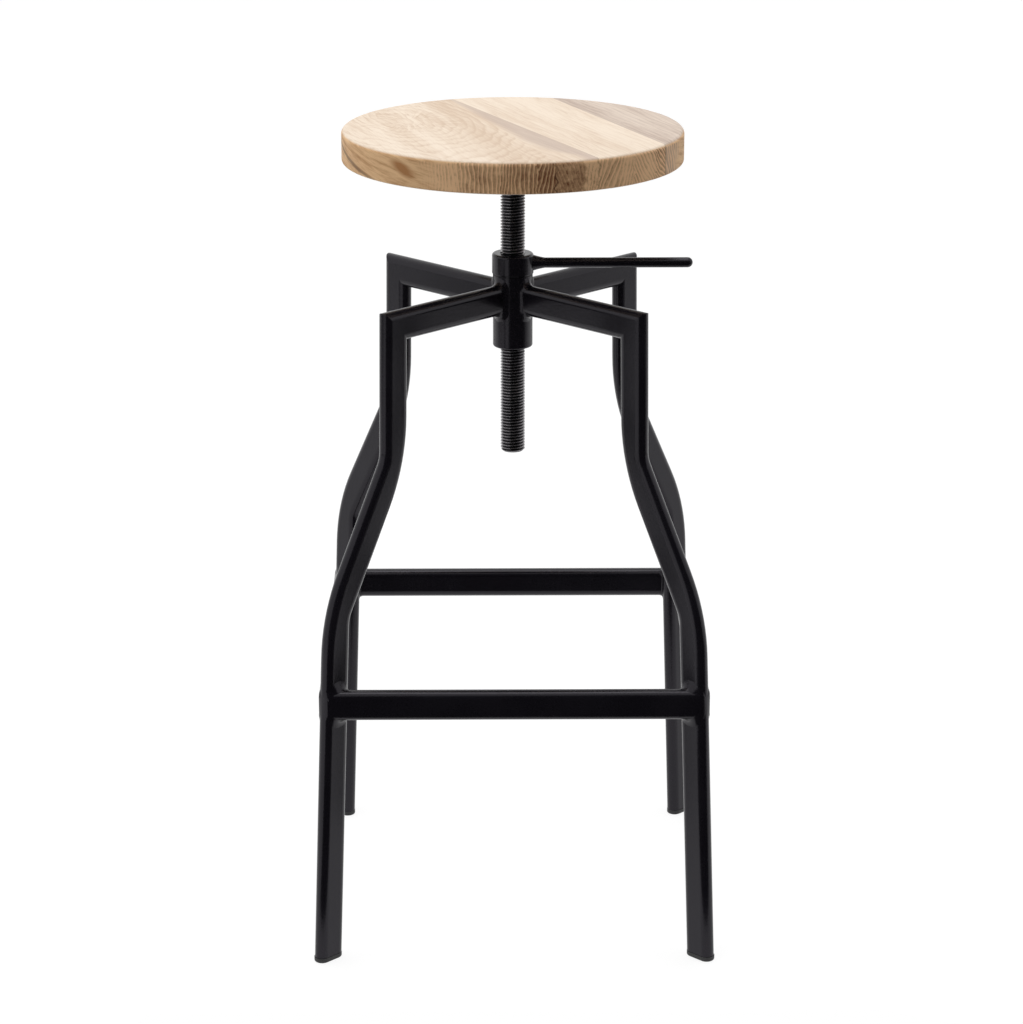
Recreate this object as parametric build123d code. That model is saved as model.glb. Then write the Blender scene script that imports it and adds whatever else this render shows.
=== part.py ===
"""Height-adjustable stool: wooden seat on a threaded spindle, black frame of flat-oval tube."""
import math
import os

from build123d import *

# All lengths are in millimetres and all angles in degrees. The floor is z = 0. The spindle's axis is the
# z axis, the front of the stool faces -y and the lever points along +x.

# Seat
SEAT_D = 330
SEAT_TOP = 789
SEAT_THICK = 30
SEAT_TOP_EASE = 4
SEAT_BOTTOM_EASE = 2
# Each glue line: its direction in plan, and its distance from the spindle's axis towards the right
GLUE_LEFT_DIR = -72
GLUE_LEFT_OFFSET = -13
GLUE_MIDDLE_DIR = -65
GLUE_MIDDLE_OFFSET = 10
GLUE_RIGHT_DIR = -67
GLUE_RIGHT_OFFSET = 99

# Seat plate and its screws
PLATE_D = 140
PLATE_THICK = 4
SCREW_CIRCLE_D = 110
SCREW_COUNT = 4
SCREW_D = 5
SCREW_HEAD_D = 10
SCREW_HEAD_THICK = 3
SCREW_IN_WOOD = 20
SCREW_FIT = 0.1

# Spindle with a standard 24 mm coarse thread
THREAD_D = 24
THREAD_PITCH = 3
THREAD_DEPTH_RATIO = 0.6134
THREAD_CREST_RATIO = 0.125
THREAD_FLANK = 30
THREAD_CLEARANCE = 0.3
THREAD_SPARE_TURNS = 2
SPINDLE_BOTTOM = 466
SPINDLE_CHAMFER = 2
SPIGOT_D = 20

# Hub, washer and lock collar
HUB_D = 39
HUB_BOTTOM = 573
HUB_TOP = 645
HUB_EASE = 2
HUB_THREAD_LENGTH = 24
HUB_RELIEF_D = 25.2
HUB_LEAD_IN = 1
WASHER_D = 37.5
WASHER_THICK = 1.2
COLLAR_D = 40.6
COLLAR_HEIGHT = 20
COLLAR_EASE = 2.5
COLLAR_BOTTOM_EASE = 0.8

# Lever
LEVER_D = 10
LEVER_END = 175.5
LEVER_WELD_D = 19
LEVER_WELD_LENGTH = 11
LEVER_WELD_HOLLOW = 0.5

# Flat-oval tube of the frame
TUBE_LONG = 30
TUBE_SHORT = 15
TUBE_WALL = 1.5

# Leg centre line: distance from the spindle's axis and height of each corner, before bending
ARM_Z = 622
LEG_TOP_RADIUS = 161.3
LEG_UPPER_RADIUS = 163.5
LEG_UPPER_Z = 490
LEG_LOWER_RADIUS = 241
LEG_LOWER_Z = 351.5
LEG_FOOT_RADIUS = 258.7

# Radius of the bends at the middle of the tube's rounded sides: tight inside and wide outside
LEG_BEND_INSIDE = 32
LEG_BEND_OUTSIDE = 177.5

LEG_COUNT = 4

# Foot bars
BAR_Z = 265
BAR_OUTSET = 6.5

# Foot plugs
FOOT_THICK = 5
FOOT_PROUD = 0.4
FOOT_EASE = 2
FOOT_STEM = 25
FOOT_STEM_FIT = 0.2

# Derived heights and radii
SEAT_BOTTOM = SEAT_TOP - SEAT_THICK
PLATE_BOTTOM = SEAT_BOTTOM - PLATE_THICK
COLLAR_BOTTOM = HUB_TOP + WASHER_THICK
COLLAR_TOP = COLLAR_BOTTOM + COLLAR_HEIGHT
LEVER_Z = COLLAR_BOTTOM + COLLAR_HEIGHT / 2
THREAD_R = THREAD_D / 2
THREAD_ROOT_R = THREAD_R - THREAD_DEPTH_RATIO * THREAD_PITCH
BORE_R = THREAD_R + THREAD_CLEARANCE
QUARTER = 360 / LEG_COUNT

CORNERS = {
    "back_right": 0.5 * QUARTER,
    "back_left": 1.5 * QUARTER,
    "front_left": 2.5 * QUARTER,
    "front_right": 3.5 * QUARTER,
}
SIDES = {
    "front": 0 * QUARTER,
    "right": 1 * QUARTER,
    "back": 2 * QUARTER,
    "left": 3 * QUARTER,
}

os.makedirs("parts", exist_ok=True)


def save(shape, name):
    """Write one piece to its own file."""
    export_step(shape, "parts/" + name + ".step")


def turned(points):
    """Solid turned about the z axis from (radius, height) points."""
    return revolve(Plane.XZ * make_face(Polyline(*points, close=True)), Axis.Z)


def disc(diameter, bottom, height):
    """Upright cylinder on the z axis."""
    return Pos(0, 0, bottom) * Cylinder(diameter / 2, height, align=(Align.CENTER, Align.CENTER, Align.MIN))


def around(shape, count, radius):
    """Copies of a shape on a circle about the z axis."""
    first = 180 / count
    return [Rot(0, 0, first + i * 360 / count) * Pos(radius, 0, 0) * shape for i in range(count)]


# Thread: four helical strips (crest, flank, root, flank) closed at both ends by a profile face and a helicoid
def thread_body(bottom, top, clearance):
    """Solid threaded rod that reaches past both heights, in step with every other thread on the axis."""
    pitch = THREAD_PITCH
    first = math.floor(bottom / pitch) - THREAD_SPARE_TURNS
    turns = math.ceil(top / pitch) + THREAD_SPARE_TURNS - first
    start = first * pitch
    crest_r = THREAD_R + clearance
    root_r = THREAD_ROOT_R + clearance
    crest = pitch * THREAD_CREST_RATIO
    flank = (crest_r - root_r) * math.tan(math.radians(THREAD_FLANK))
    heights = [0, crest, crest + flank, pitch - flank, pitch]
    radii = [crest_r, crest_r, root_r, root_r, crest_r]

    def one_turn(radius, height):
        return Edge.make_helix(pitch, pitch, radius).translate(Vector(0, 0, height))

    def profile(height):
        corners = [Vector(r, 0, height + h) for r, h in zip(radii, heights)]
        corners.append(Vector(0, 0, height + pitch))
        corners.append(Vector(0, 0, height))
        return Face(Wire.make_polygon(corners, close=True))

    def end_helicoid(height):
        axis = Edge.make_line((0, 0, height), (0, 0, height + pitch))
        return Face.make_surface_from_curves(one_turn(crest_r, height), axis)

    faces = []
    for turn in range(turns):
        edges = [one_turn(r, start + turn * pitch + h) for r, h in zip(radii, heights)]
        faces += [Face.make_surface_from_curves(low, high) for low, high in zip(edges, edges[1:])]
    for end in (start, start + turns * pitch):
        faces += [profile(end), end_helicoid(end)]
    return Solid(Shell(faces))


# Seat boards
seat = disc(SEAT_D, SEAT_BOTTOM, SEAT_THICK)
seat = fillet(seat.edges().group_by(Axis.Z)[-1], SEAT_TOP_EASE)
seat = fillet(seat.edges().group_by(Axis.Z)[0], SEAT_BOTTOM_EASE)
pilot = disc(SCREW_D + 2 * SCREW_FIT, SEAT_BOTTOM, SCREW_IN_WOOD + SCREW_FIT)
for hole in around(pilot, SCREW_COUNT, SCREW_CIRCLE_D / 2):
    seat = seat - hole


def outward(start, end):
    """Direction square to a line in the x-z plane, away from the spindle for a line that goes up."""
    along = (end - start).normalized()
    return Vector(along.Z, 0, -along.X)


def beside(points, outset):
    """Corners of a bent line in the x-z plane, moved outwards."""
    moved = [points[0] + outward(points[0], points[1]) * outset]
    for before, corner, after in zip(points, points[1:], points[2:]):
        normal = (outward(before, corner) + outward(corner, after)).normalized()
        moved.append(corner + normal * (outset / normal.dot(outward(before, corner))))
    moved.append(points[-1] + outward(points[-2], points[-1]) * outset)
    return moved


def leg_body(points, nose_radius):
    """Filled leg: a flat web between two rounded sides, each with its own bends."""
    reach = (TUBE_LONG - TUBE_SHORT) / 2
    front = FilletPolyline(*beside(points, reach), radius=(LEG_BEND_OUTSIDE, LEG_BEND_INSIDE))
    back = FilletPolyline(*beside(points, -reach), radius=(LEG_BEND_INSIDE, LEG_BEND_OUTSIDE))
    web = front + back + Line(front @ 0, back @ 0) + Line(front @ 1, back @ 1)
    body = extrude(make_face(web), nose_radius, both=True)
    nose = make_face(CenterArc((0, 0), nose_radius, -90, 180) + Line((0, -nose_radius), (0, nose_radius)))
    along = (points[1] - points[0]).normalized()
    for line, side in ((front, 1), (back, -1)):
        section = Plane(origin=line @ 0, x_dir=outward(points[0], points[1]) * side, z_dir=along)
        body = body + sweep(section * nose, path=line)
    return body


def glue_plane(direction, offset):
    """Upright plane along a glue line, facing right."""
    facing = math.radians(direction + 90)
    normal = Vector(math.cos(facing), math.sin(facing), 0)
    return Plane(origin=normal * offset, z_dir=normal)


glue_left = glue_plane(GLUE_LEFT_DIR, GLUE_LEFT_OFFSET)
glue_middle = glue_plane(GLUE_MIDDLE_DIR, GLUE_MIDDLE_OFFSET)
glue_right = glue_plane(GLUE_RIGHT_DIR, GLUE_RIGHT_OFFSET)
save(split(seat, bisect_by=glue_left, keep=Keep.BOTTOM), "seat_board_left")
rest = split(seat, bisect_by=glue_left, keep=Keep.TOP)
save(split(rest, bisect_by=glue_middle, keep=Keep.BOTTOM), "seat_board_heart")
rest = split(rest, bisect_by=glue_middle, keep=Keep.TOP)
save(split(rest, bisect_by=glue_right, keep=Keep.BOTTOM), "seat_board_middle")
save(split(rest, bisect_by=glue_right, keep=Keep.TOP), "seat_board_right")

# Seat plate
plate = disc(PLATE_D, PLATE_BOTTOM, PLATE_THICK) - disc(SPIGOT_D, PLATE_BOTTOM, PLATE_THICK)
plate_hole = disc(SCREW_D + 2 * SCREW_FIT, PLATE_BOTTOM, PLATE_THICK)
for hole in around(plate_hole, SCREW_COUNT, SCREW_CIRCLE_D / 2):
    plate = plate - hole
save(plate, "seat_plate")

# Seat screws
screw = disc(SCREW_D, PLATE_BOTTOM, PLATE_THICK + SCREW_IN_WOOD)
screw_head = disc(SCREW_HEAD_D, PLATE_BOTTOM - SCREW_HEAD_THICK, SCREW_HEAD_THICK)
screw_head = fillet(screw_head.edges().group_by(Axis.Z)[0], SCREW_HEAD_THICK / 2)
save(Compound(children=around(screw + screw_head, SCREW_COUNT, SCREW_CIRCLE_D / 2)), "seat_screws")

# Spindle
spindle_envelope = turned([
    (0, SPINDLE_BOTTOM),
    (THREAD_R - SPINDLE_CHAMFER, SPINDLE_BOTTOM),
    (THREAD_R + THREAD_CLEARANCE, SPINDLE_BOTTOM + SPINDLE_CHAMFER + THREAD_CLEARANCE),
    (THREAD_R + THREAD_CLEARANCE, PLATE_BOTTOM),
    (SPIGOT_D / 2, PLATE_BOTTOM),
    (SPIGOT_D / 2, SEAT_BOTTOM),
    (0, SEAT_BOTTOM),
])
save(thread_body(SPINDLE_BOTTOM, SEAT_BOTTOM, 0) & spindle_envelope, "spindle")

# Hub: threaded at its top and bored clear of the thread below
hub = disc(HUB_D, HUB_BOTTOM, HUB_TOP - HUB_BOTTOM)
hub = fillet(hub.edges().group_by(Axis.Z)[0], HUB_EASE)
hub = hub - disc(HUB_RELIEF_D, HUB_BOTTOM, HUB_TOP - HUB_THREAD_LENGTH - HUB_BOTTOM)
hub = hub - thread_body(HUB_TOP - HUB_THREAD_LENGTH, HUB_TOP, THREAD_CLEARANCE)
for mouth, inward, bore_r in ((HUB_BOTTOM, 1, HUB_RELIEF_D / 2), (HUB_TOP, -1, BORE_R)):
    hub = hub - turned([
        (0, mouth),
        (bore_r + HUB_LEAD_IN / 2, mouth),
        (bore_r - HUB_LEAD_IN / 2, mouth + inward * HUB_LEAD_IN),
        (0, mouth + inward * HUB_LEAD_IN),
    ])
save(hub, "hub")

# Friction washer
save(disc(WASHER_D, HUB_TOP, WASHER_THICK) - disc(2 * BORE_R, HUB_TOP, WASHER_THICK), "friction_washer")

# Lock collar
collar = disc(COLLAR_D, COLLAR_BOTTOM, COLLAR_HEIGHT)
collar = fillet(collar.edges().group_by(Axis.Z)[-1], COLLAR_EASE)
collar = fillet(collar.edges().group_by(Axis.Z)[0], COLLAR_BOTTOM_EASE)
collar = collar - disc(2 * BORE_R, COLLAR_BOTTOM, COLLAR_HEIGHT)
save(collar, "lock_collar")

# Lock lever with its weld at the collar
weld_end = COLLAR_D / 2 + LEVER_WELD_LENGTH
lever_start = COLLAR_D / 2 - LEVER_D / 2
weld_curve = ThreePointArc(
    (lever_start, LEVER_WELD_D / 2),
    ((lever_start + weld_end) / 2, (LEVER_D + LEVER_WELD_D) / 4 - LEVER_WELD_HOLLOW),
    (weld_end, LEVER_D / 2),
)
lever_outline = Line((weld_end, LEVER_D / 2), (LEVER_END - LEVER_D / 2, LEVER_D / 2))
lever_outline += ThreePointArc(
    (LEVER_END - LEVER_D / 2, LEVER_D / 2),
    (LEVER_END - LEVER_D / 2 * (1 - math.sqrt(0.5)), LEVER_D / 2 * math.sqrt(0.5)),
    (LEVER_END, 0),
)
lever_outline += Polyline((LEVER_END, 0), (lever_start, 0), (lever_start, LEVER_WELD_D / 2))
lever = revolve(Plane.XY * make_face(weld_curve + lever_outline), Axis.X)
lever = Pos(0, 0, LEVER_Z) * lever - disc(COLLAR_D, COLLAR_BOTTOM, COLLAR_HEIGHT)
save(lever, "lock_lever")

# Legs: bent in the x-z plane, then turned to their corners
leg_corner = Vector(LEG_TOP_RADIUS, 0, ARM_Z)
leg_upper = Vector(LEG_UPPER_RADIUS, 0, LEG_UPPER_Z)
leg_lower = Vector(LEG_LOWER_RADIUS, 0, LEG_LOWER_Z)
leg_foot = Vector(LEG_FOOT_RADIUS, 0, 0)
leg_up = (leg_corner - leg_upper).normalized()
shank_up = (leg_lower - leg_foot).normalized()
leg_points = [leg_foot, leg_lower, leg_upper, leg_corner + leg_up * TUBE_LONG]
foot_plane = Plane(origin=leg_foot, x_dir=(shank_up.Z, 0, -shank_up.X), z_dir=shank_up)
tube_outer = SlotOverall(TUBE_LONG, TUBE_SHORT)
tube_inner = SlotOverall(TUBE_LONG - 2 * TUBE_WALL, TUBE_SHORT - 2 * TUBE_WALL)
arm_out = Vector(1, 0, 0)
mitre = Plane(origin=leg_corner, z_dir=arm_out - leg_up)
floor_cut = Plane(origin=(0, 0, FOOT_THICK), z_dir=(0, 0, 1))
leg_filled = leg_body(leg_points, TUBE_SHORT / 2)
leg = leg_filled - leg_body(leg_points, TUBE_SHORT / 2 - TUBE_WALL)
leg = split(leg, bisect_by=mitre, keep=Keep.TOP)
leg = split(leg, bisect_by=floor_cut, keep=Keep.TOP)

# Arms: from the hub to the mitre, with the tube's long side upright
arm_plane = Plane(origin=(0, 0, ARM_Z), x_dir=(0, 0, 1), z_dir=arm_out)
arm_length = LEG_TOP_RADIUS + TUBE_LONG
arm = extrude(arm_plane * tube_outer, arm_length) - extrude(arm_plane * tube_inner, arm_length)
arm = split(arm, bisect_by=mitre, keep=Keep.BOTTOM)
arm = arm - disc(HUB_D, HUB_BOTTOM, HUB_TOP - HUB_BOTTOM)

# Foot plugs: a flange under the tube and a stem up inside it
flange_plane = Plane(origin=(LEG_FOOT_RADIUS, 0, 0))
flange_outline = SlotOverall(TUBE_LONG + 2 * FOOT_PROUD, TUBE_SHORT + 2 * FOOT_PROUD)
flange = extrude(flange_plane * flange_outline, FOOT_THICK)
flange = fillet(flange.edges().group_by(Axis.Z)[0], FOOT_EASE)
stem_shrink = 2 * (TUBE_WALL + FOOT_STEM_FIT)
stem_outline = SlotOverall(TUBE_LONG - stem_shrink, TUBE_SHORT - stem_shrink)
stem = extrude(foot_plane * stem_outline, FOOT_THICK + FOOT_STEM)
stem = split(stem, bisect_by=floor_cut, keep=Keep.TOP)
foot = flange + stem

for corner, angle in CORNERS.items():
    save(Rot(0, 0, angle) * leg, "leg_" + corner)
    save(Rot(0, 0, angle) * arm, "arm_" + corner)
    save(Rot(0, 0, angle) * foot, "foot_" + corner)

# Foot bars: upright tubes that end on the legs, set a little outside the legs' centre line
bar_fall = (LEG_LOWER_Z - BAR_Z) / LEG_LOWER_Z
leg_radius_at_bar = LEG_LOWER_RADIUS + (LEG_FOOT_RADIUS - LEG_LOWER_RADIUS) * bar_fall
leg_at_bar = leg_radius_at_bar * math.sqrt(0.5)
nose_at_bar = leg_at_bar + (TUBE_LONG - TUBE_SHORT) / 2 * math.sqrt(0.5)
bar_plane = Plane(
    origin=(-nose_at_bar, -leg_at_bar - BAR_OUTSET, BAR_Z),
    x_dir=(0, 0, 1),
    z_dir=(1, 0, 0),
)
bar = extrude(bar_plane * tube_outer, 2 * nose_at_bar) - extrude(bar_plane * tube_inner, 2 * nose_at_bar)
for corner in ("front_left", "front_right"):
    bar = bar - Rot(0, 0, CORNERS[corner]) * leg_filled
bar = bar.solids().sort_by(SortBy.VOLUME)[-1]
for side, angle in SIDES.items():
    save(Rot(0, 0, angle) * bar, "bar_" + side)
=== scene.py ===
"""Looks of a height-adjustable stool: figured wood boards, black powder coat, dressed welds and a studio."""
import math

import bpy
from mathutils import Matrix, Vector


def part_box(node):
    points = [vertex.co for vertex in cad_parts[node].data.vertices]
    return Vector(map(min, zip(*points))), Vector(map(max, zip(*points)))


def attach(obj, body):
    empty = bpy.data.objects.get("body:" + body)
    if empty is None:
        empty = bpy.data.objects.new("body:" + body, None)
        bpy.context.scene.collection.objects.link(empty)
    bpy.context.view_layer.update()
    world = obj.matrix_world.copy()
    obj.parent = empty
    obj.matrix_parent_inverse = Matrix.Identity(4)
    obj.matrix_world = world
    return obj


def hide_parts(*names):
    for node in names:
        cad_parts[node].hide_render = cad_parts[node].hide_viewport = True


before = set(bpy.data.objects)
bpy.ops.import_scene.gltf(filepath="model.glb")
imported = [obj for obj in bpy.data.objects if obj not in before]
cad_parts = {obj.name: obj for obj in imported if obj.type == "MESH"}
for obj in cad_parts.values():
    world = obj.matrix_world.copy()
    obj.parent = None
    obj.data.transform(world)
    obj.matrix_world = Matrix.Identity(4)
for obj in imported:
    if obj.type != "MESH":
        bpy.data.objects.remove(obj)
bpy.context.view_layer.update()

bl_info = {
    "name": "Screw Stool Looks",
    "version": (1, 0, 0),
    "blender": (4, 5, 0),
    "location": "View3D > Sidebar > Stool",
    "description": "Dresses the packed stool with wood, powder coat, welds and a studio",
    "category": "Object",
}

CORNERS = ("back_right", "back_left", "front_left", "front_right")
SIDES = ("front", "right", "back", "left")

# Seat: diameter, radius of the rim and height of the edge's middle
SEAT_DIAMETER = 0.33
RIM_RADIUS = SEAT_DIAMETER / 2
EDGE_MIDDLE = 0.774
# Width of the heart streak along its board, from the back rim to the front rim, as a share of the most
HEART_WIDTHS = ((0.05, 0.14), (0.33, 0.42), (0.68, 0.82), (0.83, 0.8), (0.94, 0.4))
HEART_MOST = 0.03
# End grain on the edge: place along the rim where a block starts, slant of its lines, tone and line strength
LEFT_ENDS = ((0, 0.05, -0.24, 0.5), (-0.312, 0.0, -0.08, 0.6), (-0.272, -0.1, 0.1, 0.64),
             (-0.238, -0.25, 0.22, 0.64))
HEART_ENDS = ((0, 0.3, 0.46, 0.2), (-0.192, -0.2, 0.3, -0.3))
MIDDLE_ENDS = ((0, -0.3, -0.2, 0.55), (-0.1365, 0.85, -0.52, 0.95), (-0.104, 1.1, -0.36, 0.95))
RIGHT_ENDS = ((0, 0.35, -0.3, 0.9),)
# Finger joints between the blocks: height of a finger, and half the width over which one block runs into the next
FINGER = 0.0055
BLOCK_CHANGE = 0.0016
# Knot and drying check on the left board's edge: place along the rim, height, and where the check ends
KNOT_RIM, KNOT_HEIGHT = -0.371, 0.776
CHECK_RIM, CHECK_HEIGHT, CHECK_END = -0.504, 0.7795, -0.4
# Heights between which a glue line gains its strength down the edge, and its strength above them
JOINT_FADE = (0.783, 0.772)
JOINT_FAINT = 0.35

# Distance from the spindle's axis within which weld beads show on the lever
LEVER_ROOT = 0.031
# Radii between which the thread's rubbed crest, brightened further as a painted highlight, begins
CREST_HIGHLIGHT = (0.0106, 0.0118)
# Length of a seat screw's tip
SCREW_TIP = 0.004
# Fillet weld, row by row from the root to the toe: growth round the tube and advance along it, in leg lengths
FILLET_ROWS = ((0.0, 0.0), (0.01, 1.0), (0.134, 0.5), (0.5, 0.134), (1.0, 0.0))
# Bar weld on the outer flat, row by row from the root to the toe on the leg: distance past the bar's end, distance
# behind the bar's face, and how far the row swells where it turns over the bar
BAR_RUNOUT = ((0.0, 0.0, 0.0), (0.006, -0.00002, 0.0), (0.002, -0.00006, 0.0003), (-0.0017, 0.0003, 0.001),
              (-0.0046, 0.0026, 0.003))
# How far along the tube a weld's rows start before they are pressed onto hub or leg
HUB_CLEAR, BAR_CLEAR = 0.01, 0.04

# White sheet on the floor: side length, front edge, corner of the part that reaches forward on the left, that
# part's reach and slant, step back of the edge before the feet, and where the sides are cut away and how far back
SHEET = 14
SHEET_FRONT, SHEET_CORNER = -0.45, -0.35
SHEET_REACH, SHEET_SLANT = 2.75, 0.9
SHEET_STEP = 0.15
SHEET_FAR, SHEET_BACK = 2.35, 0.1
# How much of the sheet shows as plain white to the camera and in mirrors, and the strength of that white
SHEET_WHITE, SHEET_GLOW = 0.75, 1.15
# Dark gap behind the camera: its middle, and the cosines of its inner and outer edge
GAP_TOWARD = (0.29, -0.95, -0.1)
GAP_EDGE = (0.7, 0.58)
# Slopes between which mirrors pass from the dark ground beyond the sheet to the white background
GROUND_EDGE = (-0.16, -0.1)
SOFTBOX_AT, SOFTBOX_AIM, SOFTBOX_SIZE = (-0.2, 0.1, 2.6), (0, 0, 0.7), 1.6
# Camera, found by fitting the frame's outline to the photograph: place, degrees down and to the right, millimetres
CAMERA_AT = (-0.0290, -3.0846, 1.3925)
CAMERA_TILT, CAMERA_TURN = 17.82, 0.516
CAMERA_SENSOR, CAMERA_LENS = 36, 114.19


# Colour and size settings

def srgb(r, g, b):
    """Linear colour of an 8-bit display colour."""
    def linear(v):
        v = v / 255
        return v / 12.92 if v <= 0.04045 else ((v + 0.055) / 1.055) ** 2.4
    return (linear(r), linear(g), linear(b))


def colour(label, words, default):
    """Colour property with its default written as a display colour."""
    return bpy.props.FloatVectorProperty(
        name=label, description=words, subtype="COLOR", size=3, min=0, max=1, default=srgb(*default))


def length(label, words, default):
    """Length property in metres."""
    return bpy.props.FloatProperty(name=label, description=words, subtype="DISTANCE", unit="LENGTH",
                                   default=default, min=0)


def angle(label, words, default):
    """Angle property, with its default in degrees."""
    return bpy.props.FloatProperty(name=label, description=words, subtype="ANGLE", unit="ROTATION",
                                   default=math.radians(default))


class STOOL_PG_wood(bpy.types.PropertyGroup):
    """Colours of the seat boards."""
    pale: colour("Pale wood", "Early wood on the pale boards", (245, 228, 208))
    tan: colour("Tan wood", "Late wood on the pale boards", (219, 195, 171))
    heart: colour("Heart streak", "Grey-brown heart wood beside the middle glue line", (203, 183, 168))
    grey: colour("Grey board", "Early wood on the right board", (226, 209, 193))
    grey_dark: colour("Grey board lines", "Late wood on the right board", (192, 172, 158))
    edge_pale: colour("Edge, side grain", "Pale colour of the seat's edge where the side grain shows", (245, 203, 154))
    edge_tan: colour("Edge, side grain lines", "Darker figure in the side grain", (184, 130, 82))
    end_pale: colour("Edge, end grain", "Pale colour of the end grain", (251, 206, 158))
    end_dark: colour("Edge, end grain lines", "Dark lines in the end grain", (120, 74, 44))
    glue: colour("Glue line", "Dark line where two boards meet on the edge", (84, 54, 36))


class STOOL_PG_metal(bpy.types.PropertyGroup):
    """Finish of the frame."""
    coat: colour("Powder coat", "Satin black coat of the frame", (19, 17, 23))
    coat_worn: colour("Powder coat, thin", "Coat where it lies thin on welds and edges", (27, 25, 31))
    thread: colour("Thread", "Oiled dark flanks of the spindle's thread", (46, 45, 48))
    # Thread crest: rubbed steel, brightened further as a painted highlight of the crests
    thread_crest_highlight: colour("Thread crest", "Rubbed crests of the spindle's thread", (158, 155, 158))
    # Washer: its own dark steel, deepened to near-black as painted shade of the groove under the collar
    washer: colour("Washer", "Blackened steel washer under the collar", (9, 9, 10))
    plastic: colour("Foot plastic", "Black foot plugs", (36, 36, 37))
    zinc: colour("Zinc", "Plating of the seat screws", (176, 176, 178))


class STOOL_PG_sizes(bpy.types.PropertyGroup):
    """Sizes of the welds and the seat figure."""
    hub_weld: length("Hub weld, sides", "Leg length of the hub welds on the arms' flat sides", 0.0032)
    hub_weld_round: length("Hub weld, top", "Leg length of the hub welds over and under the arms", 0.007)
    bar_weld: length("Bar weld, sides", "Leg length of the bar welds on the bars' flat sides", 0.0022)
    bar_weld_round: length("Bar weld, top", "Leg length of the bar welds over and under the bars", 0.0085)
    plate_weld: length("Plate weld", "Leg length of the weld between spindle and seat plate", 0.0014)
    screw_head: length("Screw head", "Diameter of the seat screws' heads", 0.010)
    screw_shank: length("Screw shank", "Diameter of the seat screws' shanks", 0.005)
    tube_long: length("Tube, long side", "Long side of the flat-oval tube", 0.030)
    tube_short: length("Tube, short side", "Short side of the flat-oval tube", 0.015)
    glue_left: angle("Left glue line", "Direction of the left glue line in plan", -72)
    glue_middle: angle("Middle glue line", "Direction of the middle glue line in plan", -65)
    glue_right: angle("Right glue line", "Direction of the right glue line in plan", -67)
    left_at: length("Left glue line distance", "Distance of the left glue line to the left of the axis", 0.013)
    middle_at: length("Middle glue line distance", "Distance of the middle glue line from the axis", 0.010)
    right_at: length("Right glue line distance", "Distance of the right glue line from the axis", 0.099)


class STOOL_PG_stage(bpy.types.PropertyGroup):
    """Studio light."""
    walls: bpy.props.FloatProperty(
        name="Side walls", description="Strength of the pale walls", default=0.64, min=0)
    gap: bpy.props.FloatProperty(
        name="Dark gap", description="Strength of the dark gap in front", default=0.05, min=0)
    top: bpy.props.FloatProperty(
        name="Overhead", description="Power of the overhead softbox", default=19, min=0,
        subtype="POWER", unit="POWER")


# Shader graphs

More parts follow.
